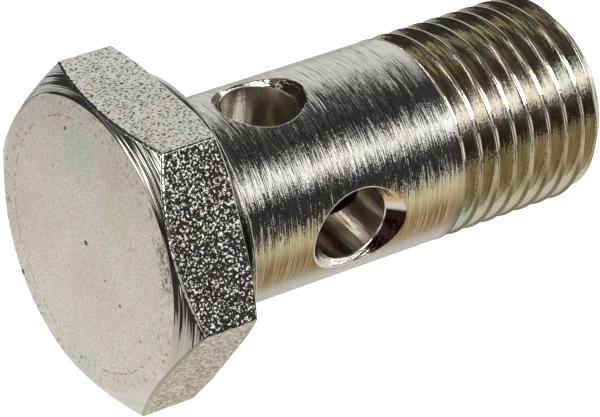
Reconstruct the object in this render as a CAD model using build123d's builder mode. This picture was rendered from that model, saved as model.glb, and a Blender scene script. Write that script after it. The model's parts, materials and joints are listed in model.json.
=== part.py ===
from build123d import *

import os
from math import atan2, cos, pi, radians, sin, tan

# Hollow bolt for a banjo fitting, in millimetres. It lies as it comes to rest: on the heel of one head
# flat and on the rim of its tip, with the ground at Z = 0. Its axis runs along +X and dips by the lean.
# Stations are distances along the bolt axis from the end face of the head.

# Head, made from hexagon bar
across_flats = 19.0
hexagon_height = 5.05
front_chamfer_angle = 33.0
face_inset = 0.35
rear_chamfer_angle = 20.0
rear_face_outset = 0.37
collar_inset = 0.45
collar_height = 0.9

# Shank and thread, G 1/4 A
shank_diameter = 13.1
shank_length = 17.1
thread_diameter = 13.157
thread_length = 11.65
tip_chamfer = 1.35

# Oil ways
axial_bore_diameter = 6.0
axial_bore_mouth = 0.5
drill_point_angle = 118.0
cross_bore_diameter = 4.75
first_countersink_diameter = 5.95
second_countersink_diameter = 6.7
countersink_angle = 90.0
first_cross_bore_from_seat = 6.0
cross_bore_stagger = 3.3
bore_overrun = 1.5

# Radii and stations that follow from the sizes above
apothem = across_flats / 2
face_radius = apothem - face_inset
corner_radius = apothem / cos(pi / 6)
rear_face_radius = apothem + rear_face_outset
collar_radius = apothem - collar_inset
shank_radius = shank_diameter / 2
thread_radius = thread_diameter / 2
tip_face_radius = thread_radius - tip_chamfer
axial_bore_radius = axial_bore_diameter / 2

seat_station = hexagon_height + collar_height
thread_station = seat_station + shank_length
tip_station = thread_station + thread_length
first_cross_station = seat_station + first_cross_bore_from_seat
second_cross_station = first_cross_station + cross_bore_stagger
bore_end_station = first_cross_station - cross_bore_diameter / 2 - bore_overrun

# The cones of the head: depth of the front one and of the rear one at a hexagon corner
front_chamfer_depth = (corner_radius - face_radius) * tan(radians(front_chamfer_angle))
rear_chamfer_depth = (corner_radius - rear_face_radius) * tan(radians(rear_chamfer_angle))

# Lying pose: the line through the heel of the lowest flat and the foot of the tip chamfer is level
foot_station = tip_station - tip_chamfer
lean = atan2(apothem - thread_radius, foot_station - hexagon_height)
face_centre_height = hexagon_height * sin(lean) + apothem * cos(lean)
face_reach = face_radius * sin(lean)
tip_reach = tip_station * cos(lean) + tip_face_radius * sin(lean)
face_centre = (-(tip_reach - face_reach) / 2, 0, face_centre_height)

# Turning plane: X along the bolt axis from the end face of the head, Y out to the upper side
turning = Plane(origin=face_centre, x_dir=(cos(lean), 0, -sin(lean)), z_dir=(0, -1, 0))
bolt_axis = Axis(turning.origin, turning.x_dir)
head_face = Plane(origin=turning.origin, x_dir=turning.y_dir, z_dir=turning.x_dir)


def touching_shank(station, bearing):
    """Plane that touches the shank at a station and faces outwards; bearing 0 is the upper side."""
    outward = turning.y_dir.rotate(Axis((0, 0, 0), turning.x_dir), bearing)
    on_axis = turning.from_local_coords(Vector(station, 0, 0))
    return Plane(origin=on_axis + outward * shank_radius, x_dir=turning.x_dir, z_dir=outward)


with BuildPart() as banjo_bolt:
    # Hexagon bar, with one flat facing the ground
    with BuildSketch(head_face):
        RegularPolygon(apothem, 6, major_radius=False, rotation=30)
    extrude(amount=tip_station)

    # Turned outline: end face, front cone, rear cone and face, collar, shank, thread blank, tip chamfer
    with BuildSketch(turning):
        with BuildLine():
            Polyline(
                (0, 0),
                (0, face_radius),
                (front_chamfer_depth, corner_radius),
                (hexagon_height - rear_chamfer_depth, corner_radius),
                (hexagon_height, rear_face_radius),
                (hexagon_height, collar_radius),
                (seat_station, collar_radius),
                (seat_station, shank_radius),
                (thread_station, shank_radius),
                (thread_station, thread_radius),
                (foot_station, thread_radius),
                (tip_station, tip_face_radius),
                (tip_station, 0),
                close=True,
            )
        make_face()
    revolve(axis=bolt_axis, mode=Mode.INTERSECT)

    # Blind oil way from the tip, with a drill point at its end and an eased mouth
    with BuildSketch(turning):
        with BuildLine():
            Polyline(
                (bore_end_station - axial_bore_radius / tan(radians(drill_point_angle / 2)), 0),
                (bore_end_station, axial_bore_radius),
                (tip_station - axial_bore_mouth, axial_bore_radius),
                (tip_station, axial_bore_radius + axial_bore_mouth),
                (tip_station, 0),
                close=True,
            )
        make_face()
    revolve(axis=bolt_axis, mode=Mode.SUBTRACT)

    # Two staggered oil ways across the shank at right angles, each countersunk at both ends
    for station, countersink_diameter, bearings in (
        (first_cross_station, first_countersink_diameter, (0, 180)),
        (second_cross_station, second_countersink_diameter, (90, 270)),
    ):
        with Locations(*[touching_shank(station, bearing) for bearing in bearings]):
            CounterSinkHole(
                radius=cross_bore_diameter / 2,
                counter_sink_radius=countersink_diameter / 2,
                depth=shank_radius,
                counter_sink_angle=countersink_angle,
            )

banjo_bolt.part.label = "banjo_bolt"

os.makedirs("parts", exist_ok=True)
export_step(banjo_bolt.part, "parts/banjo_bolt.step")
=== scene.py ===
"""A hollow bolt for a banjo fitting, lying on a plain pale floor."""

import json
import math

import bmesh
import bpy
import numpy as np
from mathutils import Matrix, Vector
from mathutils.geometry import delaunay_2d_cdt


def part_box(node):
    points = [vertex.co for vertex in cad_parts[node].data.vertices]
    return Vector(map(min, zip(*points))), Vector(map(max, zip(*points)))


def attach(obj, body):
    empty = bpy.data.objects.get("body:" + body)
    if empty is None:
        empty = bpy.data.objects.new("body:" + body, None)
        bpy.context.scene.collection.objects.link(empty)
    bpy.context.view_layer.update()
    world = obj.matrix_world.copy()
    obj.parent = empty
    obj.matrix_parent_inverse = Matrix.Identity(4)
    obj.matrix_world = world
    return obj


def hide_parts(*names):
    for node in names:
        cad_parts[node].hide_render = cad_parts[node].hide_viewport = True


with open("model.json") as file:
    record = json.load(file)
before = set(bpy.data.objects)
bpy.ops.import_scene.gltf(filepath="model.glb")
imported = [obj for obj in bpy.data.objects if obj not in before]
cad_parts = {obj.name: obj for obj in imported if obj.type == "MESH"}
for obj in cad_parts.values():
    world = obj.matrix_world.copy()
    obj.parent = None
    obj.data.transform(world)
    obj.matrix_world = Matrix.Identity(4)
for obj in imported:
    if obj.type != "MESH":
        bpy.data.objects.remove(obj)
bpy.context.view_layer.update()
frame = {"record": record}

# ----------------------------------------
# Sizes. The bolt is drawn along its own axis: a station is the distance from the end face of the
# head, and a bearing turns round the axis from its upper side (0) to the side at -Y (90 degrees).
# DRAWN_LENGTH is the length of the CAD box for the sizes written here, so all of them follow it.

DRAWN_LENGTH = 0.0359931
low_corner, high_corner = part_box("banjo_bolt")
MM = 0.001 * (high_corner.x - low_corner.x) / DRAWN_LENGTH

mounts = {mount["name"]: mount for mount in frame["record"]["mounts"]}
AXIS = Vector(mounts["shank"]["axis"]).normalized()
SIDE = Vector(mounts["second_cross_bore"]["axis"]).normalized()
UPPER = SIDE.cross(AXIS)

# Head: hexagon with its cones and rear face, and the collar behind it, which ends at the seat
APOTHEM = 9.5
FACE_RADIUS = 9.15
HEX_HEIGHT = 5.05
FRONT_CHAMFER = math.radians(29)
REAR_CHAMFER = math.radians(20)
REAR_FACE_RADIUS = 9.87
REAR_FACE_MIDDLE = 9.3
COLLAR_RADIUS = 9.05
SEAT = 5.95

# Shank, threaded end and oil way
SHANK_RADIUS = mounts["shank"]["dims"]["r_mm"]
THREAD_RADIUS = mounts["thread"]["dims"]["r_mm"]
BORE_RADIUS = mounts["axial_bore"]["dims"]["r_mm"]
TIP = 34.8
TIP_CHAMFER = 1.35
BORE_END = 8.075
BORE_MOUTH = 0.5
DRILL_POINT = math.radians(118 / 2)

# Roundings: corners of the hexagon, edges, front edge of the flats, root of the shank, cross bores
CORNER_ROUNDING = 0.18
EDGE_ROUNDING = 0.11
FRONT_ROUNDING = 0.27
ROOT_FILLET = 0.22
RIM_ROUNDING = 0.07

# Thread: a 55 degree form, the station of its first crest on the upper side, and the bearings,
# counted on from there, between which the groove fades in. Its rows start at THREAD_JOIN.
PITCH = 1.337
FLANK = math.radians(27.5)
CREST_HALF_FLAT = 0.025
CREST_ROUNDING = 0.07
ROOT_ROUNDING = 0.1373 * PITCH
FIRST_CREST = 22.774
RUN_OUT_START = math.radians(-205)
RUN_OUT_END = math.radians(-140)
THREAD_JOIN = 22.0

# Mouths of the two cross bores: station, bearing in degrees, radius of the bore, radius of the
# countersink, and the name that their finishes start with
UPPER_BORE = (11.98, -1.5, 2.31, 2.97, "upper")
SIDE_BORE = (15.29, 91.8, 2.44, 3.37, "side")
CROSS_BORES = (UPPER_BORE, (11.98, 178.5, 2.31, 2.97, "upper"),
               SIDE_BORE, (15.29, -88.2, 2.44, 3.37, "side"))

# The origin of stations: the centre of the end face
shank_middle = SEAT + mounts["shank"]["dims"]["length_mm"] / 2
FACE_CENTRE = Vector(mounts["shank"]["pos_m"]) - AXIS * shank_middle * MM

TAU = 2 * math.pi
# Points of the skin that are closer than this, in drawn millimetres, are one point
WELD = 0.0004


# ----------------------------------------
# The skin of the bolt: patches that know their exact normals, joined where their edges meet


def wheel(station, radius, bearing):
    """Bolt coordinates of points given by station, radius and bearing."""
    station, radius, bearing = np.broadcast_arrays(station, radius, bearing)
    return np.stack([station, radius * np.sin(bearing), radius * np.cos(bearing)], axis=-1)


def unit(vectors):
    """The vectors, each made one long."""
    return vectors / np.linalg.norm(vectors, axis=-1, keepdims=True)


class Skin:
    """Patches in bolt coordinates (station, towards SIDE, towards UPPER), in drawn millimetres.
    Each face has the name of its finish."""

    def __init__(self):
        self.points = []
        self.normals = []
        self.faces = []
        self.finishes = []
        self.count = 0

    def add(self, points, normals, faces, finish):
        """Adds faces, each turned to look the way its normals point. AXIS, SIDE and UPPER make a
        left-handed set, so a face that looks outwards has its corners the other way round here."""
        points = np.asarray(points, float).reshape(-1, 3)
        normals = unit(np.asarray(normals, float).reshape(-1, 3))
        corners = points[faces]
        looks = np.cross(corners[:, 2] - corners[:, 0], corners[:, -1] - corners[:, 1])
        wrong = (looks * normals[faces].sum(axis=1)).sum(axis=1) > 0
        faces = np.where(wrong[:, None], faces[:, ::-1], faces)
        self.points.append(points)
        self.normals.append(normals)
        self.faces.extend((faces + self.count).tolist())
        self.finishes.extend([finish] * len(faces))
        self.count += len(points)

    def grid(self, points, normals, finish):
        """A grid of rows by columns that closes on itself along its columns."""
        rows, columns = points.shape[:2]
        index = np.arange(rows * columns).reshape(rows, columns)
        after = np.roll(index, -1, axis=1)
        quads = np.stack([index[:-1], index[1:], after[1:], after[:-1]], axis=-1).reshape(-1, 4)
        self.add(points, normals, quads, finish)

    def mesh(self, name, slots):
        """The joined mesh; slots are the names of the finishes in the order of its materials."""
        points = np.concatenate(self.points)
        normals = np.concatenate(self.normals)
        bm = bmesh.new()
        for point in points:
            bm.verts.new(point)
        bm.verts.ensure_lookup_table()
        bm.verts.index_update()
        doubles = bmesh.ops.find_doubles(bm, verts=bm.verts, dist=WELD)["targetmap"]
        target = np.arange(len(points))
        for vert, kept in doubles.items():
            target[vert.index] = kept.index
        bm.free()
        faces, corner_normals, indices = [], [], []
        for face, finish in zip(self.faces, self.finishes):
            ring = {}
            for corner in face:
                ring.setdefault(int(target[corner]), corner)
            if len(ring) >= 3:
                faces.append(list(ring))
                corner_normals.extend(normals[corner] for corner in ring.values())
                indices.append(slots.index(finish))
        used = np.unique([corner for face in faces for corner in face])
        compact = np.zeros(len(points), int)
        compact[used] = np.arange(len(used))
        faces = [compact[face].tolist() for face in faces]
        turn = np.array((AXIS, SIDE, UPPER))
        placed = points[used] @ turn * MM + np.array(FACE_CENTRE)
        mesh = bpy.data.meshes.new(name)
        mesh.from_pydata(placed.tolist(), [], faces)
        mesh.polygons.foreach_set("material_index", indices)
        mesh.shade_smooth()
        mesh.normals_split_custom_set((np.array(corner_normals) @ turn).tolist())
        mesh.update()
        return mesh


# ----------------------------------------
# Head

# Half the angle that a side of the hexagon spans
HALF_SIDE = math.pi / 6


def head_bearings():
    """Bearings round the head: even steps, and close ones over each rounded corner."""
    half_corner = CORNER_ROUNDING * math.tan(HALF_SIDE) / (APOTHEM / math.cos(HALF_SIDE))
    close = np.linspace(-half_corner, half_corner, 9)
    even = np.radians(np.linspace(-27.5, 27.5, 23))
    one = np.concatenate([close[4:] - HALF_SIDE, even, close[:4] + HALF_SIDE])
    return np.concatenate([one + step * 2 * HALF_SIDE for step in range(6)])


def hexagon(bearing):
    """Radius of the round-cornered hexagon at a bearing, and the bearing that its side faces."""
    off_flat = (bearing + HALF_SIDE) % (2 * HALF_SIDE) - HALF_SIDE
    flat = bearing - off_flat
    off_corner = HALF_SIDE - np.abs(off_flat)
    centre = (APOTHEM - CORNER_ROUNDING) / math.cos(HALF_SIDE)
    reach = centre * np.cos(off_corner)
    inside = CORNER_ROUNDING**2 - (centre * np.sin(off_corner)) ** 2
    round_radius = reach + np.sqrt(np.maximum(inside, 0))
    on_flat = APOTHEM / np.cos(off_flat)
    touch = (APOTHEM - CORNER_ROUNDING) * math.tan(HALF_SIDE)
    rounded = on_flat * np.sin(np.abs(off_flat)) > touch
    across = round_radius * np.sin(off_corner)
    along = round_radius * np.cos(off_corner) - centre
    faces = bearing + np.sign(off_flat) * (off_corner - np.arctan2(across, along))
    return np.where(rounded, round_radius, on_flat), np.where(rounded, faces, flat)


def arc(centre, radius, start, end, steps):
    """Stations, radii and tilts of an arc in the turning plane; a tilt of 0 faces outwards, and
    one of 90 degrees faces the tip."""
    tilt = np.linspace(start, end, steps + 1)
    return [(centre[0] + radius * math.sin(t), centre[1] + radius * math.cos(t), t) for t in tilt]


def add_head(skin):
    """The head from its end face to the root of the shank; returns the bearings of its columns."""
    bearing = head_bearings()
    side, facing = hexagon(bearing)
    rho = EDGE_ROUNDING

    def ring(station, radius, tilt, share):
        """One row of the head; share says how far its normal leans from round to the flats."""
        out_round = np.stack([np.sin(bearing), np.cos(bearing)], -1)
        out_flat = np.stack([np.sin(facing), np.cos(facing)], -1)
        out = unit(out_round * (1 - share) + out_flat * share)
        tilt = np.broadcast_to(tilt, bearing.shape)[:, None]
        normal = np.concatenate([np.sin(tilt), out * np.cos(tilt)], axis=1)
        return wheel(station, radius, bearing), normal

    def grid(rows, finish):
        points, normals = zip(*rows)
        skin.grid(np.array(points), np.array(normals), finish)

    # End face, out to the rounding at its rim
    face_tilt = -math.pi / 2
    cone_tilt = FRONT_CHAMFER - math.pi / 2
    rim = FACE_RADIUS - rho * math.tan(FRONT_CHAMFER / 2)
    rim_arc = arc((rho, rim), rho, face_tilt, cone_tilt, 3)
    grid([ring(0, radius, face_tilt, 0) for radius in np.linspace(0, rim, 9)], "end_face")
    grid([ring(*row, 0) for row in rim_arc], "front_cone")

    # Front cone: it ends where the ball that rounds its edge touches it
    front = FRONT_ROUNDING
    front_inner = side - front
    ball = front / math.cos(FRONT_CHAMFER) + (front_inner - FACE_RADIUS) * math.tan(FRONT_CHAMFER)
    start_station, start_radius, _ = rim_arc[-1]
    end_station = ball + front * math.sin(cone_tilt)
    end_radius = front_inner + front * math.cos(cone_tilt)
    cone_rows = []
    for share in np.linspace(0, 1, 4):
        station = start_station + (end_station - start_station) * share
        radius = start_radius + (end_radius - start_radius) * share
        cone_rows.append(ring(station, radius, cone_tilt, 0))
    grid(cone_rows, "front_cone")
    edge_rows = []
    for share in np.linspace(0, 1, 6):
        tilt = cone_tilt * (1 - share)
        station = ball + front * math.sin(tilt)
        edge_rows.append(ring(station, front_inner + front * math.cos(tilt), tilt, share))
    grid(edge_rows, "edges")

    # Rear edge of the flats: a ball rounds it, against the rear cone at the corners of the hexagon
    # and against the rear face along its flats
    inner = side - rho
    rear_tilt = math.pi / 2 - REAR_CHAMFER
    slope = math.tan(REAR_CHAMFER)
    on_cone = HEX_HEIGHT - (inner - REAR_FACE_RADIUS) * slope - rho / math.cos(REAR_CHAMFER)
    on_face = HEX_HEIGHT - rho
    first = np.minimum(on_cone, on_face)

    def rear_ring(ball_station, ball_radius, tilt, share):
        """A row on a ball of the rear edge."""
        station = ball_station + rho * math.sin(tilt)
        return ring(station, ball_radius + rho * math.cos(tilt), tilt, share)

    flat_rows = [ring(ball + (first - ball) * share, side, 0, 1) for share in np.linspace(0, 1, 7)]
    grid(flat_rows, "flats")
    grid([rear_ring(first, inner, tilt, 1) for tilt in np.linspace(0, rear_tilt, 4)], "edges")

    # Rear cone, the rounding where it meets the rear face, and that face
    behind_cone = REAR_FACE_RADIUS - rho * (1 - math.sin(REAR_CHAMFER)) / math.cos(REAR_CHAMFER)
    last = np.where(on_cone < on_face, behind_cone, inner)
    behind = [rear_ring(first, inner, rear_tilt, 0.5)]
    for tilt in np.linspace(rear_tilt, math.pi / 2, 3):
        behind.append(rear_ring(on_face, last, tilt, 0.2))
    for radius in (REAR_FACE_MIDDLE, COLLAR_RADIUS):
        behind.append(ring(HEX_HEIGHT, radius, math.pi / 2, 0))
    grid(behind, "seat")

    # Collar, seat and the fillet at the root of the shank
    grid([ring(station, COLLAR_RADIUS, 0, 0) for station in (HEX_HEIGHT, SEAT - rho)], "shank")
    seat_arc = arc((SEAT - rho, COLLAR_RADIUS - rho), rho, 0, math.pi / 2, 3)
    grid([ring(*row, 0) for row in seat_arc], "seat")
    seat_radii = np.linspace(COLLAR_RADIUS - rho, SHANK_RADIUS + ROOT_FILLET, 5)
    grid([ring(SEAT, radius, math.pi / 2, 0) for radius in seat_radii], "seat")
    root = []
    for tilt in np.linspace(math.pi / 2, 0, 5):
        station = SEAT + ROOT_FILLET - ROOT_FILLET * math.sin(tilt)
        radius = SHANK_RADIUS + ROOT_FILLET - ROOT_FILLET * math.cos(tilt)
        root.append(ring(station, radius, tilt, 0))
    grid(root, "shank")
    return bearing


# ----------------------------------------
# Walls with openings: round walls laid flat, cut into triangles and wrapped back. The flat wall
# laps over itself past the seam, and the triangles of one turn of it are kept.

WALL_LAP = math.radians(70)
# Shares of the spacing of the wall's points: how far the seam is moved, how far apart the rows are
# and how far the points stay from an opening
SEAM_OFFSET = 0.21
ROW_SPACING = 0.87
CLEARANCE = 0.55


def add_wall(skin, radius, start, end, loops, finish, spacing, inward=False):
    """A round wall between two rings of (station, bearings), less its openings. Each opening is
    a closed loop of (station, bearing)."""
    lap = math.pi + WALL_LAP
    flat = []
    for station, bearings in (start, end):
        for lapped in (-TAU, 0, TAU):
            ring = [bearing + lapped for bearing in bearings]
            flat.extend((station, b * radius) for b in ring if abs(b) <= lap)
    edges = []
    outlines = []
    for loop in loops:
        for lapped in (-TAU, 0, TAU):
            outline = loop + np.array((0, lapped))
            if np.abs(outline[:, 1]).max() >= lap:
                continue
            first = len(flat)
            flat.extend((s, b * radius) for s, b in outline)
            count = len(outline)
            edges.extend((first + i, first + (i + 1) % count) for i in range(count))
            outlines.append(outline * np.array((1, radius)))
    # Points between the two rings, clear of the openings
    columns = round(TAU * radius / spacing)
    step = TAU / columns
    rows = round((end[0] - start[0]) / (spacing * ROW_SPACING))
    inner = []
    for row in range(1, rows):
        station = start[0] + (end[0] - start[0]) * row / rows
        for column in range(-columns, columns + 1):
            bearing = (column + 0.5 * (row % 2)) * step
            if abs(bearing) < lap:
                inner.append((station, bearing * radius))
    inner = np.array(inner)
    keep = np.ones(len(inner), bool)
    for outline in outlines:
        keep &= ~inside_loop(inner, outline)
        gap = np.linalg.norm(inner[:, None] - outline, axis=2).min(axis=1)
        keep &= gap > spacing * CLEARANCE
    flat.extend(map(tuple, inner[keep]))
    points, _, triangles, *_ = delaunay_2d_cdt([Vector(p) for p in flat], edges, [], 0, 1e-6)
    points = np.array([tuple(p) for p in points])
    triangles = np.array(triangles)
    middle = points[triangles].mean(axis=1)
    seam = -math.pi * radius + SEAM_OFFSET * spacing
    kept = (middle[:, 1] >= seam) & (middle[:, 1] < seam + TAU * radius)
    for outline in outlines:
        kept &= ~inside_loop(middle, outline)
    triangles = triangles[kept]
    bearing = points[:, 1] / radius
    normals = wheel(0, -1 if inward else 1, bearing)
    skin.add(wheel(points[:, 0], radius, bearing), normals, triangles, finish)


def inside_loop(points, loop):
    """Which of the points lie inside a closed loop."""
    inside = np.zeros(len(points), bool)
    x, y = points[:, 0], points[:, 1]
    for (x0, y0), (x1, y1) in zip(loop, np.roll(loop, -1, axis=0)):
        crosses = (y0 > y) != (y1 > y)
        if y0 != y1:
            inside ^= crosses & (x < (x1 - x0) * (y - y0) / (y1 - y0) + x0)
    return inside


# ----------------------------------------
# Cross bores

RIM_POINTS = 84


def rim_reach(turn, rim):
    """Distance from a cross bore's axis to where its 90 degree countersink meets the shank."""
    drop = SHANK_RADIUS - rim
    a = 1 + np.sin(turn) ** 2
    return (-drop + np.sqrt(drop**2 - a * (drop**2 - SHANK_RADIUS**2))) / a


def rounded_edge(ends, first_normal, last_normal):
    """Rows and normals of a rounded edge: from the first of three loops to the last, by way of the
    sharp edge between them."""
    rows, normals = [], []
    for t in np.linspace(0, 1, 4):
        rows.append((1 - t) ** 2 * ends[0] + 2 * t * (1 - t) * ends[1] + t**2 * ends[2])
        normals.append(unit(first_normal) * (1 - t) + unit(last_normal) * t)
    return np.array(rows), np.array(normals)


def straight_wall(start, end, normal, steps):
    """Rows and normals of a wall between two loops."""
    rows = [start * (1 - t) + end * t for t in np.linspace(0, 1, steps + 1)]
    return np.array(rows), np.array([normal] * (steps + 1))


def add_cross_bore(skin, station, bearing, bore, rim, name):
    """A countersunk bore from the shank to the oil way; returns its loops on both walls."""
    turn = np.arange(RIM_POINTS) * TAU / RIM_POINTS
    bearing = math.radians(bearing)
    cosine, sine = np.cos(turn), np.sin(turn)
    drop = SHANK_RADIUS - rim

    def local(reach, height):
        """Points at a reach from the bore's axis and a height above the bolt's axis."""
        along = station + reach * cosine
        across = reach * sine
        side = across * math.cos(bearing) + height * math.sin(bearing)
        upper = -across * math.sin(bearing) + height * math.cos(bearing)
        return np.stack([along, side, upper], axis=-1)

    def direction(reach, height):
        return local(reach, height) - local(0, 0)

    # Rim of the countersink, and its cone
    corner = rim_reach(turn, rim)
    outer = corner + RIM_ROUNDING
    outer_height = np.sqrt(SHANK_RADIUS**2 - (outer * sine) ** 2)
    inner = corner - RIM_ROUNDING
    ends = [local(outer, outer_height), local(corner, corner + drop), local(inner, inner + drop)]
    shank_normal = wheel(0, 1, bearing + np.arcsin(outer * sine / SHANK_RADIUS))
    cone_normal = direction(-1, 1)
    skin.grid(*rounded_edge(ends, shank_normal, cone_normal), name + "_countersink")
    low_edge = bore + RIM_ROUNDING
    cone_end = local(low_edge, low_edge + drop)
    skin.grid(*straight_wall(ends[2], cone_end, cone_normal, 2), name + "_countersink")

    # Rim of the bore, and its wall down to the oil way
    wall_start = local(bore, bore + drop - RIM_ROUNDING)
    wall_normal = direction(-1, 0)
    ends = [cone_end, local(bore, bore + drop), wall_start]
    skin.grid(*rounded_edge(ends, cone_normal, wall_normal), "seat")
    saddle = local(bore, np.sqrt(BORE_RADIUS**2 - (bore * sine) ** 2))
    skin.grid(*straight_wall(wall_start, saddle, wall_normal, 3), name + "_bore")

    def loop(reach, radius):
        """Stations and bearings of a loop on a round wall."""
        bearings = bearing + np.arcsin(reach * sine / radius)
        return np.stack([station + reach * cosine, bearings], axis=-1)

    return loop(outer, SHANK_RADIUS), loop(bore, BORE_RADIUS)


# ----------------------------------------
# Thread

THREAD_COLUMNS = 160
# Half the step, in drawn millimetres, over which the thread's slopes are measured for its normals
SLOPE_STEP = 0.012


def thread_form(share):
    """Depth of the 55 degree thread below its crest, at a share of the pitch."""
    half = PITCH / 2
    from_crest = half - np.abs(share * PITCH - half)
    from_root = half - from_crest
    off_flat = np.maximum(from_crest - CREST_HALF_FLAT, 0)
    flank_start = CREST_HALF_FLAT + CREST_ROUNDING * math.cos(FLANK)
    flank_end = half - ROOT_ROUNDING * math.cos(FLANK)
    flank_top = CREST_ROUNDING * (1 - math.sin(FLANK))
    flank_foot = flank_top + (flank_end - flank_start) / math.tan(FLANK)
    deepest = flank_foot + ROOT_ROUNDING * (1 - math.sin(FLANK))
    crest = CREST_ROUNDING - np.sqrt(np.maximum(CREST_ROUNDING**2 - off_flat**2, 0))
    flank = flank_top + (from_crest - flank_start) / math.tan(FLANK)
    root = deepest - ROOT_ROUNDING + np.sqrt(np.maximum(ROOT_ROUNDING**2 - from_root**2, 0))
    return np.select([from_crest < flank_start, from_crest < flank_end], [crest, flank], root)


def thread_surface(station, bearing):
    """Radius of the threaded end at a station and bearing: thread, its run-out and the tip cone."""
    turns = (station - FIRST_CREST) / PITCH - bearing / TAU
    groove = np.floor(turns)
    along = groove * TAU + bearing
    fade = np.clip((along - RUN_OUT_START) / (RUN_OUT_END - RUN_OUT_START), 0, 1)
    fade = fade * fade * (3 - 2 * fade)
    crest_radius = SHANK_RADIUS + (THREAD_RADIUS - SHANK_RADIUS) * fade
    radius = crest_radius - thread_form(turns - groove) * fade
    tip_cone = THREAD_RADIUS - (station - (TIP - TIP_CHAMFER))
    return np.minimum(radius, tip_cone)


def thread_shares():
    """Shares of a pitch at which the thread has its rows: close over crest and root."""
    lean = np.linspace(0, math.pi / 2 - FLANK, 4)
    crest = np.concatenate([[0], CREST_HALF_FLAT + CREST_ROUNDING * np.sin(lean)]) / PITCH
    root = 0.5 - ROOT_ROUNDING * np.sin(lean[::-1]) / PITCH
    flank = np.linspace(crest[-1], root[0], 6)[1:-1]
    half = np.concatenate([crest, flank, root])
    return np.concatenate([half, 1 - half[::-1][1:-1]])


def add_thread(skin):
    """The thread from THREAD_JOIN to the tip; returns the bearings of its columns."""
    end = TIP - EDGE_ROUNDING
    bearing = np.arange(THREAD_COLUMNS) * TAU / THREAD_COLUMNS - math.pi
    shares = thread_shares()
    first = math.floor((THREAD_JOIN - FIRST_CREST) / PITCH) - 1
    last = math.ceil((end - FIRST_CREST) / PITCH) + 1
    turns = np.concatenate([shares + pitch for pitch in range(first, last)])
    grid_bearing, grid_turns = np.meshgrid(bearing, turns)
    station = FIRST_CREST + PITCH * (grid_turns + grid_bearing / TAU)
    station = np.clip(station, THREAD_JOIN, end)
    radius = thread_surface(station, grid_bearing)
    # Normals, from the slopes along the axis and round it
    ahead = thread_surface(station + SLOPE_STEP, grid_bearing)
    behind = thread_surface(station - SLOPE_STEP, grid_bearing)
    slope = (ahead - behind) / (2 * SLOPE_STEP)
    turn = SLOPE_STEP / SHANK_RADIUS
    ahead = thread_surface(station, grid_bearing + turn)
    behind = thread_surface(station, grid_bearing - turn)
    swing = (ahead - behind) / (2 * turn * radius)
    outward = wheel(0, 1, grid_bearing)
    tangent = np.stack([0 * radius, np.cos(grid_bearing), -np.sin(grid_bearing)], axis=-1)
    normal = outward - tangent * swing[..., None]
    normal[..., 0] -= slope
    index = np.arange(radius.size).reshape(radius.shape)
    pairs = [(index[:, column], index[:, column + 1]) for column in range(THREAD_COLUMNS - 1)]
    # The last column meets the first one a pitch further on
    pairs.append((index[: -len(shares), -1], index[len(shares):, 0]))
    quads = [np.stack([low[:-1], low[1:], high[1:], high[:-1]], axis=-1) for low, high in pairs]
    points = wheel(station, radius, grid_bearing)
    skin.add(points, normal, np.concatenate(quads), "thread")
    return bearing


# ----------------------------------------
# Tip face, mouth and oil way

# The plain part of the oil way's wall ends here, and the part with the openings starts
BORE_JOIN = 19.5


def add_oil_way(skin, bearing):
    """The end face of the tip, the mouth, the plain part of the oil way and its drill point."""
    rho = EDGE_ROUNDING

    def rows(profile, finish):
        stations, radii, tilts = (np.array(value)[:, None] for value in zip(*profile))
        out = wheel(0, 1, bearing)[None]
        points = wheel(stations, radii, bearing[None])
        normals = out * np.cos(tilts)[..., None]
        normals[..., 0] += np.sin(tilts)
        skin.grid(points, normals, finish)

    tip_radius = THREAD_RADIUS - TIP_CHAMFER
    quarter = math.pi / 4
    touch = rho * math.tan(quarter / 2)
    start = (TIP - rho, tip_radius + rho, quarter)
    rounding = arc((TIP - rho, tip_radius - touch), rho, quarter, 2 * quarter, 3)
    rows([start, *rounding], "thread")
    mouth = BORE_RADIUS + BORE_MOUTH
    rows([(TIP, tip_radius - touch, 2 * quarter), (TIP, mouth + touch, 2 * quarter)], "seat")
    rounding = arc((TIP - rho, mouth + touch), rho, 2 * quarter, 3 * quarter, 3)
    rows(rounding, "seat")
    mouth_end = TIP - BORE_MOUTH
    rows([rounding[-1], (mouth_end, BORE_RADIUS, 3 * quarter)], "seat")
    wall = [(station, BORE_RADIUS, math.pi) for station in np.linspace(mouth_end, BORE_JOIN, 12)]
    rows(wall, "oil_way")
    point_tilt = math.pi / 2 + DRILL_POINT
    depth = BORE_RADIUS / math.tan(DRILL_POINT)
    rows([(BORE_END, BORE_RADIUS, point_tilt), (BORE_END - depth, 0, point_tilt)], "oil_way")


# Sides of the triangles on the walls with openings
SHANK_SPACING = 0.28
BORE_SPACING = 0.2


def build_bolt(slots):
    """The bolt as one mesh, without its materials."""
    skin = Skin()
    head_ring = (add_head(skin) + math.pi) % TAU - math.pi
    shank_loops, bore_loops = zip(*[add_cross_bore(skin, *mouth) for mouth in CROSS_BORES])
    thread_ring = add_thread(skin)
    add_wall(skin, SHANK_RADIUS, (SEAT + ROOT_FILLET, head_ring), (THREAD_JOIN, thread_ring),
             shank_loops, "shank", SHANK_SPACING)
    add_wall(skin, BORE_RADIUS, (BORE_END, thread_ring), (BORE_JOIN, thread_ring),
             bore_loops, "oil_way", BORE_SPACING, inward=True)
    add_oil_way(skin, thread_ring)
    bolt = bpy.data.objects.new("bolt_body", skin.mesh("bolt_body", slots))
    bpy.context.scene.collection.objects.link(bolt)
    return bolt


# ----------------------------------------
# Camera, as fitted to the photo: its place in drawn millimetres, the azimuth and the height that
# it looks inwards from, its roll and its lens

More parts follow.
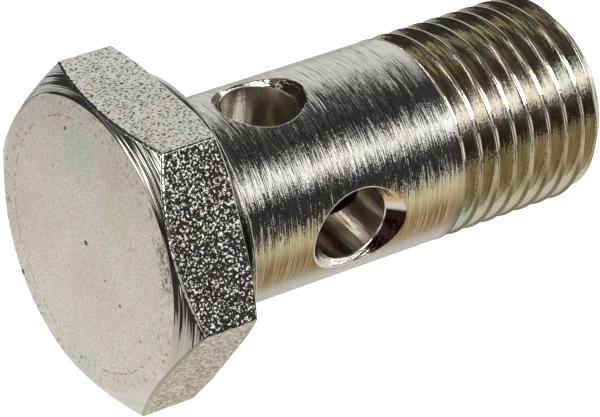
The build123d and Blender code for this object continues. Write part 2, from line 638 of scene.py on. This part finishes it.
CAMERA_PLACE = Vector((-105.59796, -147.24454, 148.89979)) * MM
CAMERA_AZIMUTH = math.radians(-125.21342)
CAMERA_HEIGHT = math.radians(38.47966)
CAMERA_ROLL = math.radians(0.15440)
CAMERA_LENS = 224.93
CAMERA_CLIP_START = 10
SENSOR_WIDTH = 36.0


def looking_inwards(azimuth, height):
    """The turn of a camera or a lamp that looks inwards from an azimuth and a height."""
    heading = Matrix.Rotation(azimuth + math.pi / 2, 4, "Z")
    return heading @ Matrix.Rotation(math.pi / 2 - height, 4, "X")


def add_camera():
    data = bpy.data.cameras.new("camera")
    data.lens = CAMERA_LENS
    data.sensor_width = SENSOR_WIDTH
    data.clip_start = CAMERA_CLIP_START * MM
    camera = bpy.data.objects.new("camera", data)
    bpy.context.scene.collection.objects.link(camera)
    roll = Matrix.Rotation(-CAMERA_ROLL, 4, "Z")
    turn = looking_inwards(CAMERA_AZIMUTH, CAMERA_HEIGHT) @ roll
    camera.matrix_world = Matrix.Translation(CAMERA_PLACE) @ turn
    bpy.context.scene.camera = camera


# ----------------------------------------
# Studio: a pale sheet under and behind the bolt, soft panels round it and a dark room between them


class Tree:
    """Short ways to add shader nodes; a socket or a plain value may be given for any input."""

    def __init__(self, tree):
        self.nodes = tree.nodes
        self.links = tree.links

    def add(self, kind, inputs=(), **settings):
        node = self.nodes.new("ShaderNode" + kind)
        for key, value in settings.items():
            setattr(node, key, value)
        for key, value in dict(inputs).items():
            self.feed(node.inputs[key], value)
        return node

    def feed(self, socket, value):
        if isinstance(value, bpy.types.NodeSocket):
            self.links.new(value, socket)
        else:
            socket.default_value = value

    def math(self, operation, *values):
        return self.add("Math", enumerate(values), operation=operation).outputs[0]

    def both(self, first, second):
        """The product of two values or masks."""
        return self.math("MULTIPLY", first, second)

    def vector(self, operation, *values):
        node = self.add("VectorMath", enumerate(values), operation=operation)
        return node.outputs["Value" if operation in ("DOT_PRODUCT", "DISTANCE") else "Vector"]

    def scale(self, vector, factor):
        node = self.add("VectorMath", {0: vector, "Scale": factor}, operation="SCALE")
        return node.outputs["Vector"]

    def remap(self, value, low, high, to_low=0.0, to_high=1.0):
        """A smooth step from to_low to to_high, as the value goes from low to high."""
        inputs = enumerate((value, low, high, to_low, to_high))
        return self.add("MapRange", inputs, interpolation_type="SMOOTHSTEP").outputs[0]

    def window(self, value, ends, softness):
        """Mask of the values between two ends, each with its own softness."""
        low, high = ends
        low_soft, high_soft = softness
        past_low = self.remap(value, low - low_soft / 2, low + low_soft / 2)
        before_high = self.remap(value, high - high_soft / 2, high + high_soft / 2, 1.0, 0.0)
        return self.both(past_low, before_high)

    def mix(self, factor, first, second, blend="MIX"):
        """A mix of two colours."""
        node = self.add("Mix", data_type="RGBA", blend_type=blend)
        for index, value in {0: factor, 6: first, 7: second}.items():
            self.feed(node.inputs[index], value)
        return node.outputs[2]

    def noise(self, vector, scale, detail=2.0):
        inputs = {"Vector": vector, "Scale": scale, "Detail": detail}
        return self.add("TexNoise", inputs).outputs


WHITE = (1.0, 1.0, 1.0, 1.0)

# Panels of light: the azimuths and the heights that each spans, the softness of those edges, all in
# degrees, and its brightness
PANELS = (
    ((15, 78), (-14, 40), (20, 12), (6, 14), 0.72),
    ((-30, 16), (-4, 26), (8, 8), (4, 6), 1.3),
    ((-66, -20), (20, 38), (6, 6), (4, 4), 1.15),
    ((-84, -60), (34, 60), (6, 6), (6, 6), 1.3),
    ((155, 180), (7, 24), (6, 6), (4, 4), 2.0),
    ((160, 174), (48, 62), (6, 6), (6, 6), 1.3),
    ((122, 152), (20, 28), (6, 6), (4, 4), 0.25),
    ((92, 124), (-24, -3), (6, 8), (6, 6), 0.6),
    ((-150, -84), (-8, 16), (8, 8), (5, 5), 1.25),
    ((-180, 180), (64, 90), (1, 1), (8, 1), 0.17),
)
ROOM_BRIGHTNESS = 0.035


def add_world():
    """The panels on the dark room; a camera ray sees white."""
    world = bpy.data.worlds.new("studio")
    world.use_nodes = True
    bpy.context.scene.world = world
    tree = Tree(world.node_tree)
    background = tree.nodes["Background"]
    x, y, z = tree.add("SeparateXYZ", {0: tree.add("TexCoord").outputs["Generated"]}).outputs
    height = tree.math("ARCSINE", z)
    light = ROOM_BRIGHTNESS
    for *spans, brightness in PANELS:
        azimuths, heights, azimuth_soft, height_soft = [
            [math.radians(angle) for angle in span] for span in spans
        ]
        middle = sum(azimuths) / 2
        half = (azimuths[1] - azimuths[0]) / 2
        cosine, sine = math.cos(middle), math.sin(middle)
        ahead = tree.math("ADD", tree.both(x, cosine), tree.both(y, sine))
        aside = tree.math("SUBTRACT", tree.both(y, cosine), tree.both(x, sine))
        off = tree.math("ARCTAN2", aside, ahead)
        mask = tree.both(tree.window(off, (-half, half), azimuth_soft),
                         tree.window(height, heights, height_soft))
        light = tree.math("MULTIPLY_ADD", mask, brightness, light)
    seen = tree.add("LightPath").outputs["Is Camera Ray"]
    strength = tree.add("Mix", {0: seen, 2: light, 3: 1.0}).outputs[0]
    tree.feed(background.inputs["Color"], WHITE)
    tree.feed(background.inputs["Strength"], strength)


# The main lamp stands high on the camera's side; its distance and width are in millimetres
LAMP_AZIMUTH = math.radians(-116)
LAMP_HEIGHT = math.radians(51)
LAMP_DISTANCE = 600
LAMP_WIDTH = 300
LAMP_RADIANCE = 6.3


def add_lamp():
    data = bpy.data.lights.new("main_lamp", "AREA")
    data.size = LAMP_WIDTH * MM
    data.energy = LAMP_RADIANCE * math.pi * (LAMP_WIDTH * MM) ** 2
    lamp = bpy.data.objects.new("main_lamp", data)
    bpy.context.scene.collection.objects.link(lamp)
    turn = looking_inwards(LAMP_AZIMUTH, LAMP_HEIGHT)
    lamp.matrix_world = turn @ Matrix.Translation((0, 0, LAMP_DISTANCE * MM))


# The sheet that the bolt lies on, in millimetres; its left and front edges run at a slant. The
# metal mirrors the lit paper and a glow that fades towards these two edges and towards the back,
# where the paper is painted darker as painted shade. To the camera the sheet itself is white.
SHEET_LEFT = -39
SHEET_LEFT_SLOPE = -0.35
SHEET_RIGHT = 320
SHEET_BACK = 62
SHEET_BACK_SHADE_START = 10
SHEET_FRONT = -28
SHEET_FRONT_SLOPE = -0.45
SHEET_FADE = 11
SHEET_COLOUR = (0.82, 0.815, 0.80, 1.0)
SHEET_BACK_SHADE_COLOUR = (0.5, 0.5, 0.49, 1.0)
SHEET_GLOW = 0.26
SHEET_WHITE = 0.95


def add_sheet():
    corner_x = SHEET_LEFT + SHEET_LEFT_SLOPE * SHEET_FRONT
    corner_x /= 1 - SHEET_LEFT_SLOPE * SHEET_FRONT_SLOPE
    corners = [
        Vector((corner_x, SHEET_FRONT + SHEET_FRONT_SLOPE * corner_x, 0)),
        Vector((SHEET_RIGHT, SHEET_FRONT + SHEET_FRONT_SLOPE * SHEET_RIGHT, 0)),
        Vector((SHEET_RIGHT, SHEET_BACK, 0)),
        Vector((SHEET_LEFT + SHEET_LEFT_SLOPE * SHEET_BACK, SHEET_BACK, 0)),
    ]
    mesh = bpy.data.meshes.new("sheet")
    mesh.from_pydata([corner * MM for corner in corners], [], [(0, 1, 2, 3)])
    paper = bpy.data.materials.new("pale_paper")
    paper.use_nodes = True
    tree = Tree(paper.node_tree)
    shader = tree.nodes["Principled BSDF"]
    path = tree.add("LightPath").outputs
    x, y, _ = tree.add("SeparateXYZ", {0: tree.add("TexCoord").outputs["Object"]}).outputs
    across = tree.math("MULTIPLY_ADD", y, -SHEET_LEFT_SLOPE, x)
    from_left = tree.remap(across, SHEET_LEFT * MM, (SHEET_LEFT + SHEET_FADE) * MM)
    back = tree.math("MULTIPLY_ADD", x, -SHEET_FRONT_SLOPE, y)
    from_front = tree.remap(back, SHEET_FRONT * MM, (SHEET_FRONT + SHEET_FADE) * MM)
    # Painted shade: the paper darkens towards the back, and its glow fades there
    back_shade = tree.remap(y, SHEET_BACK_SHADE_START * MM, SHEET_BACK * MM)
    mirrored = tree.math("MAXIMUM", path["Is Glossy Ray"], path["Is Transmission Ray"])
    mirrored = tree.both(mirrored, tree.both(from_left, from_front))
    mirrored = tree.both(mirrored, tree.math("SUBTRACT", 1.0, back_shade))
    glow = tree.math("ADD", tree.both(path["Is Camera Ray"], SHEET_WHITE),
                     tree.both(mirrored, SHEET_GLOW))
    tree.feed(shader.inputs["Base Color"], tree.mix(back_shade, SHEET_COLOUR, SHEET_BACK_SHADE_COLOUR))
    tree.feed(shader.inputs["Roughness"], 0.9)
    tree.feed(shader.inputs["Emission Color"], WHITE)
    tree.feed(shader.inputs["Emission Strength"], glow)
    mesh.materials.append(paper)
    sheet = bpy.data.objects.new("sheet", mesh)
    bpy.context.scene.collection.objects.link(sheet)


# ----------------------------------------
# Metal

ZINC = (0.74, 0.725, 0.68)


class Metal(Tree):
    """Zinc plated steel, with coordinates about an axis to hand, in drawn millimetres. The turn is
    the bearing round that axis: 0 towards upper and 90 degrees towards side."""

    def __init__(self, name, colour=ZINC, centre=FACE_CENTRE, axis=AXIS, upper=UPPER, side=SIDE):
        self.material = bpy.data.materials.new(name)
        self.material.use_nodes = True
        super().__init__(self.material.node_tree)
        self.shader = self.nodes["Principled BSDF"]
        place = self.vector("SUBTRACT", self.add("TexCoord").outputs["Object"], tuple(centre))
        self.place = self.scale(place, 1 / MM)
        self.axis = tuple(axis)
        self.station = self.vector("DOT_PRODUCT", self.place, self.axis)
        across = self.vector("DOT_PRODUCT", self.place, tuple(side))
        up = self.vector("DOT_PRODUCT", self.place, tuple(upper))
        self.turn = self.math("ARCTAN2", across, up)
        square = self.math("ADD", self.math("POWER", across, 2.0), self.math("POWER", up, 2.0))
        self.radius = self.math("SQRT", square)
        self.normal = self.add("NewGeometry").outputs["Normal"]
        self.tangent = self.vector("NORMALIZE", self.vector("CROSS_PRODUCT", self.axis, self.place))
        self.down_wall = self.vector("CROSS_PRODUCT", self.normal, self.tangent)
        self.colour = (*colour, 1.0)

    def signed(self, socket):
        return self.math("SUBTRACT", socket, 0.5)

    def lines(self, along, density, stretch, detail=2.0):
        """Noise drawn out round the axis, as a cutting tool leaves it."""
        step = self.add("CombineXYZ", {0: self.both(along, density)}).outputs[0]
        place = self.vector("ADD", step, self.scale(self.place, density * stretch))
        return self.noise(place, 1.0, detail)

    def strokes(self, density, stretch, detail=2.0):
        """Noise drawn out along the axis."""
        back = self.scale(self.axis, self.both(self.station, stretch - 1.0))
        place = self.scale(self.vector("ADD", self.place, back), density)
        return self.noise(place, 1.0, detail)

    def marks(self, noise, down, around):
        """Tilts the normal by a noise, down the wall and round it."""
        red_green = self.add("SeparateColor", {0: noise["Color"]}).outputs
        self.lean(self.down_wall, self.both(self.signed(red_green[0]), down))
        self.lean(self.tangent, self.both(self.signed(red_green[1]), around))

    def shake(self, noise, amount):
        """Tilts the normal every way by a noise."""
        self.lean(self.vector("SUBTRACT", noise["Color"], (0.5, 0.5, 0.5)), amount)

    def grain(self, density, amount, detail=1.0):
        self.shake(self.noise(self.place, density, detail), amount)

    def lean(self, direction, amount):
        self.normal = self.vector("ADD", self.normal, self.scale(direction, amount))

    def tint(self, mask, colour):
        """Multiplies the colour under a mask."""
        self.colour = self.mix(mask, self.colour, (*colour, 1.0), "MULTIPLY")

    def shade(self, low, high, soft, colour, mask=1.0):
        """Tints the turns from low to high, in degrees, under a mask."""
        self.tint(self.both(self.band(low, high, soft), mask), colour)

    def paint(self, mask, colour):
        """Replaces the colour under a mask."""
        self.colour = self.mix(mask, self.colour, (*colour, 1.0))

    def band(self, low, high, soft):
        """Mask of the turns from low to high, in degrees, with soft edges."""
        middle = math.radians((low + high) / 2)
        off = self.math("COSINE", self.math("SUBTRACT", self.turn, middle))
        off = self.math("ARCCOSINE", off)
        half, soft = math.radians((high - low) / 2), math.radians(soft)
        return self.remap(off, half - soft / 2, half + soft / 2, 1.0, 0.0)

    def specks(self, density, low, high, detail=1.0):
        """Mask of scattered specks: the share of the surface falls as low and high rise."""
        return self.remap(self.noise(self.place, density, detail)["Fac"], low, high)

    def finish(self, roughness):
        self.feed(self.shader.inputs["Base Color"], self.colour)
        self.feed(self.shader.inputs["Metallic"], 1.0)
        self.feed(self.shader.inputs["Roughness"], roughness)
        self.feed(self.shader.inputs["Normal"], self.vector("NORMALIZE", self.normal))
        return self.material


# Pink, green and yellow, as passivated zinc shows them, and the noise level at which they start
CLOUD_COLOURS = ((1.0, 0.87, 0.9), (0.85, 1.0, 0.94), (1.0, 0.96, 0.8))
CLOUD_LEVEL = 0.52


def iridescence(metal, scale, amount, soft=0.1):
    """Faint clouds of colour."""
    clouds = metal.add("SeparateColor", {0: metal.noise(metal.place, scale, 3.0)["Color"]}).outputs
    for cloud, colour in zip(clouds, CLOUD_COLOURS):
        mask = metal.both(metal.remap(cloud, CLOUD_LEVEL, CLOUD_LEVEL + soft), amount)
        metal.tint(mask, colour)


# Clouds of colour on the end face: radius, bearing, size and colour
FACE_CLOUDS = (
    (6.0, -14, 1.7, (0.84, 1.0, 0.96)),
    (6.7, 20, 1.4, (1.0, 0.86, 0.94)),
    (4.7, 38, 1.9, (0.97, 1.0, 0.86)),
    (6.6, -108, 3.2, (1.0, 0.92, 0.94)),
    (3.2, 160, 3.0, (1.0, 0.91, 0.93)),
    (7.0, 178, 2.0, (0.92, 1.0, 0.94)),
    (7.9, -30, 1.0, (1.0, 0.9, 0.88)),
)
# Pits in the end face: radius, bearing and size
FACE_PITS = (
    (0.15, -29, 0.2),
    (2.45, 120, 0.09),
    (4.28, 118, 0.12),
    (8.2, 179, 0.1),
    (6.8, 117, 0.09),
    (9.0, -133, 0.21),
    (5.2, -50, 0.07),
    (7.2, -24, 0.13),
)
PIT_COLOUR = (0.1, 0.08, 0.06)
# Radius of a ring that a tool left on the end face, and where the worn border starts
FACE_RING = 7.95
FACE_BORDER = 7.9


def distance(metal, radius, bearing):
    """How far the surface is from a point of the end face."""
    bearing = math.radians(bearing)
    point = (UPPER * math.cos(bearing) + SIDE * math.sin(bearing)) * radius
    return metal.vector("DISTANCE", metal.place, tuple(point))


def end_face_metal():
    metal = Metal("end_face", (0.92, 0.87, 0.785))
    metal.marks(metal.lines(metal.radius, 5.0, 0.03), 0.03, 0.01)
    metal.grain(9.0, 0.1)
    ragged = metal.signed(metal.noise(metal.place, 1.1, 3.0)["Fac"])
    for radius, bearing, size, colour in FACE_CLOUDS:
        away = metal.math("MULTIPLY_ADD", ragged, 2.2, distance(metal, radius, bearing))
        metal.tint(metal.remap(away, size * 0.7, size * 1.15, 0.75, 0.0), colour)
    iridescence(metal, 0.55, 0.3, 0.08)
    metal.tint(metal.specks(14.0, 0.35, 0.7), (0.68, 0.66, 0.63))
    metal.tint(metal.specks(6.0, 0.45, 0.7, 2.0), (0.85, 0.85, 0.85))
    # The ring is broken, and the border has scattered stains and darker patches beside the front
    # cone
    from_ring = metal.math("ABSOLUTE", metal.math("SUBTRACT", metal.radius, FACE_RING))
    ring = metal.remap(from_ring, 0.03, 0.08, 1.0, 0.0)
    metal.tint(metal.both(ring, metal.specks(3.0, 0.48, 0.56)), (0.6, 0.56, 0.48))
    border = metal.remap(metal.radius, FACE_BORDER, FACE_BORDER + 1.0)
    metal.tint(metal.both(border, metal.specks(2.4, 0.56, 0.66, 3.0)), (0.6, 0.56, 0.48))
    border = metal.remap(metal.radius, FACE_BORDER, FACE_BORDER + 0.4)
    dark_patches = metal.both(border, metal.specks(4.0, 0.4, 0.6))
    metal.shade(56, 78, 8, (0.35, 0.3, 0.24), dark_patches)
    for radius, bearing, size in FACE_PITS:
        away = distance(metal, radius, bearing)
        metal.tint(metal.remap(away, size * 0.6, size * 1.1, 1.0, 0.0), PIT_COLOUR)
    return metal.finish(0.3)


def front_cone_metal():
    metal = Metal("front_cone")
    metal.marks(metal.lines(metal.radius, 5.5, 0.02), 1.1, 0.2)
    metal.marks(metal.lines(metal.radius, 14.0, 0.009), 1.5, 0.3)
    iridescence(metal, 0.3, 0.6)
    # Pinker from 84 to 112 degrees, and painted shade, darker, from 35 to 66 degrees
    metal.shade(84, 112, 10, (1.0, 0.92, 0.88))
    metal.shade(35, 66, 6, (0.6, 0.58, 0.54))
    return metal.finish(0.11)


def edges_metal():
    metal = Metal("edges", (0.86, 0.845, 0.8))
    metal.grain(5.0, 0.5)
    # Painted shade: browner and darker on the lower side, where the edges mirror the shaded floor
    metal.shade(88, 152, 6, (0.52, 0.46, 0.37))
    metal.shade(62, 89, 4, (0.4, 0.38, 0.35))
    return metal.finish(0.16)


def flats_metal():
    metal = Metal("flats")
    # Grains, but short strokes along the axis on the top flat
    top = metal.band(-30, 30, 3)
    metal.grain(6.0, metal.math("MULTIPLY_ADD", top, -1.2, 1.2), 1.5)
    metal.shake(metal.strokes(10.0, 0.5, 1.0), metal.both(top, 1.05))
    # The flat below the side one is warmer and darker, a painted reflection of the shaded floor,
    # with brown specks
    metal.shade(90, 150, 3, (0.9, 0.83, 0.68))
    metal.shade(90, 150, 3, (0.42, 0.34, 0.23), metal.specks(4.5, 0.46, 0.54, 2.0))
    iridescence(metal, 0.3, 0.5)
    return metal.finish(0.1)


def seat_metal():
    metal = Metal("seat")
    metal.marks(metal.lines(metal.radius, 9.0, 0.02), 0.25, 0.1)
    metal.grain(8.0, 0.08)
    iridescence(metal, 0.3, 0.5)
    return metal.finish(0.16)


def paint_underside_shade(metal):
    """Painted shade: brown scores, streaks and tints along the lower side, and a duller underside.
    """
    shaded_scores = metal.remap(metal.lines(metal.station, 20.0, 0.012)["Fac"], 0.42, 0.58)
    metal.shade(72, 96, 12, (0.74, 0.68, 0.58), shaded_scores)
    shade_streaks = metal.remap(metal.lines(metal.station, 13.0, 0.012)["Fac"], 0.35, 0.6, 0.45, 1.0)
    metal.shade(90, 110, 16, (0.34, 0.21, 0.07), shade_streaks)
    metal.shade(74, 116, 18, (0.98, 0.87, 0.6))
    metal.shade(106, 160, 10, (0.68, 0.68, 0.66))


# Stations where the collar's painted shade behind the hexagon ends and that at the seat starts
HEXAGON_SHADE_BAND = (HEX_HEIGHT + 0.52, HEX_HEIGHT + 0.64)
SEAT_SHADE_BAND = (SEAT - 0.17, SEAT - 0.1)


def shank_metal():
    metal = Metal("shank")
    metal.marks(metal.lines(metal.station, 21.0, 0.01), 0.85, 0.2)
    metal.marks(metal.lines(metal.station, 17.0, 0.07), 0.5, 0.36)
    metal.grain(15.0, 0.34)
    # Painted shade: the grooves are darkened away from the lower side, so that dark lines cross the
    # highlight
    grooves = metal.remap(metal.lines(metal.station, 17.0, 0.025)["Fac"], 0.55, 0.62)
    metal.shade(-70, 66, 12, (0.38, 0.38, 0.38), grooves)
    # Painted shade along the lower side, where the shank mirrors the shaded floor
    paint_underside_shade(metal)
    # Painted shade in the corners of the collar, behind the hexagon and at the seat
    collar = metal.remap(metal.radius, SHANK_RADIUS + 1.0, SHANK_RADIUS + 1.5)
    shade_behind_hexagon = metal.remap(metal.station, *HEXAGON_SHADE_BAND, 1.0, 0.0)
    metal.tint(metal.both(collar, shade_behind_hexagon), (0.22, 0.2, 0.18))
    shade_at_seat = metal.remap(metal.station, *SEAT_SHADE_BAND)
    metal.tint(metal.both(collar, shade_at_seat), (0.5, 0.48, 0.45))
    iridescence(metal, 0.35, 0.25)
    return metal.finish(0.1)


# Stations where the finish of the plain run-out gives way to the thread's, and where the painted
# pale reflection on the underside of the first grooves fades out
RUN_OUT_FADE = (22.2, 23.2)
PALE_REFLECTION_FADE = (24.0, 26.5)


def thread_metal():
    metal = Metal("thread", (0.77, 0.745, 0.65))
    # The plain surface of the run-out, which is finished like the shank
    run_out = metal.both(
        metal.remap(metal.station, *RUN_OUT_FADE, 1.0, 0.0),
        metal.remap(metal.radius, SHANK_RADIUS - 0.12, SHANK_RADIUS - 0.03),
    )
    scored = metal.math("MAXIMUM", run_out, metal.band(2, 40, 16))
    down = metal.math("MULTIPLY_ADD", scored, 0.4, 0.5)
    around = metal.math("MULTIPLY_ADD", run_out, 0.25, 0.1)
    metal.marks(metal.lines(metal.station, 19.0, 0.01), down, around)
    metal.grain(9.0, 0.2)
    # Painted shade: olive and darker on the upper side
    metal.shade(-50, 34, 16, (0.85, 0.81, 0.67))
    # Painted highlight: lighter from 39 to 53 degrees
    metal.paint(metal.band(39, 53, 12), (0.88, 0.86, 0.78))
    # Painted shade on the lower side, where the thread mirrors the shaded floor: warmer and browner
    # tints, dark streaks, a pale painted reflection on the first grooves and darker crests
    metal.shade(60, 112, 14, (0.95, 0.92, 0.84))
    metal.shade(80, 108, 14, (0.89, 0.83, 0.71))
    shade_streaks = metal.remap(metal.lines(metal.station, 9.0, 0.02)["Fac"], 0.35, 0.62, 0.3, 1.0)
    metal.shade(62, 104, 14, (0.6, 0.55, 0.48), shade_streaks)
    first_groove_reflection = metal.remap(metal.station, *PALE_REFLECTION_FADE, 1.0, 0.0)
    metal.shade(102, 140, 12, (0.82, 0.95, 0.93), first_groove_reflection)
    metal.shade(102, 168, 14, (0.85, 0.82, 0.75))
    crest = metal.remap(metal.radius, THREAD_RADIUS - 0.24, THREAD_RADIUS - 0.12)
    metal.shade(96, 160, 16, (0.4, 0.35, 0.28), crest)
    threaded = metal.colour
    metal.colour = (*ZINC, 1.0)
    # The run-out takes the shank's painted shade on its lower side
    paint_underside_shade(metal)
    metal.colour = metal.mix(run_out, threaded, metal.colour)
    iridescence(metal, 0.35, 0.4)
    return metal.finish(0.14)


# Frames about the two cross bores: one mouth, the way that it faces, and the side of the bore that
# turns of 90 degrees are on. A turn of 0 is towards the tip of the bolt.
UPPER_HOLE = (UPPER_BORE, UPPER, SIDE)
SIDE_HOLE = (SIDE_BORE, SIDE, -UPPER)
COUNTERSINK_COLOUR = (0.74, 0.72, 0.66)


def hole_metal(name, hole, colour):
    mouth, axis, side = hole
    return Metal(name, colour, FACE_CENTRE + AXIS * mouth[0] * MM, axis, AXIS, side)


def upper_countersink_metal():
    metal = hole_metal("upper_countersink", UPPER_HOLE, COUNTERSINK_COLOUR)
    metal.marks(metal.lines(metal.station, 10.0, 0.05), 0.7, 0.5)
    metal.grain(5.0, 0.45)
    # Browner towards the tip, darker towards the head, and a dark notch of painted shade from -158
    # to -122 degrees
    metal.shade(-35, 35, 20, (0.6, 0.5, 0.42))
    metal.shade(-158, -122, 8, (0.12, 0.1, 0.08))
    metal.shade(160, 200, 12, (0.55, 0.52, 0.46))
    return metal.finish(0.12)


def side_countersink_metal():
    metal = hole_metal("side_countersink", SIDE_HOLE, COUNTERSINK_COLOUR)
    metal.marks(metal.lines(metal.station, 12.0, 0.06), 0.6, 0.4)
    metal.grain(9.0, 0.34)
    # Ochre from -60 to -17 degrees; painted shade, near black, from -4 to 62 degrees, where the
    # countersink mirrors the floor in the head's shadow
    metal.shade(-60, -17, 10, (0.9, 0.64, 0.34))
    metal.shade(-4, 62, 6, (0.04, 0.015, 0.014))
    return metal.finish(0.12)


def bore_wall_metal(metal):
    """Strokes along the wall of a cross bore."""
    metal.marks(metal.strokes(8.0, 0.06), 0.1, 0.34)
    metal.grain(8.0, 0.15)
    iridescence(metal, 0.7, 0.8)
    return metal.finish(0.25)


def upper_bore_metal():
    return bore_wall_metal(hole_metal("upper_bore", UPPER_HOLE, (0.76, 0.73, 0.63)))


def side_bore_metal():
    metal = hole_metal("side_bore", SIDE_HOLE, (0.72, 0.69, 0.56))
    # Pinker from 35 to 160 degrees, and painted shade, darker, on the wall from 82 to 170 degrees
    metal.paint(metal.band(35, 160, 30), (0.74, 0.66, 0.6))
    metal.shade(82, 170, 16, (0.5, 0.45, 0.42))
    return bore_wall_metal(metal)


def oil_way_metal():
    metal = Metal("oil_way", (0.68, 0.6, 0.48))
    metal.marks(metal.lines(metal.station, 6.0, 0.05), 0.3, 0.2)
    metal.grain(8.0, 0.15)
    return metal.finish(0.2)


# The finishes, in the order of the bolt's material slots
FINISH_MAKERS = {
    "end_face": end_face_metal,
    "front_cone": front_cone_metal,
    "edges": edges_metal,
    "flats": flats_metal,
    "seat": seat_metal,
    "shank": shank_metal,
    "thread": thread_metal,
    "upper_countersink": upper_countersink_metal,
    "upper_bore": upper_bore_metal,
    "side_countersink": side_countersink_metal,
    "side_bore": side_bore_metal,
    "oil_way": oil_way_metal,
}

add_camera()
add_world()
add_lamp()
add_sheet()
bolt = build_bolt(list(FINISH_MAKERS))
for make_finish in FINISH_MAKERS.values():
    bolt.data.materials.append(make_finish())
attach(bolt, "root")
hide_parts("banjo_bolt")

bpy.context.scene.view_settings.view_transform = "Standard"
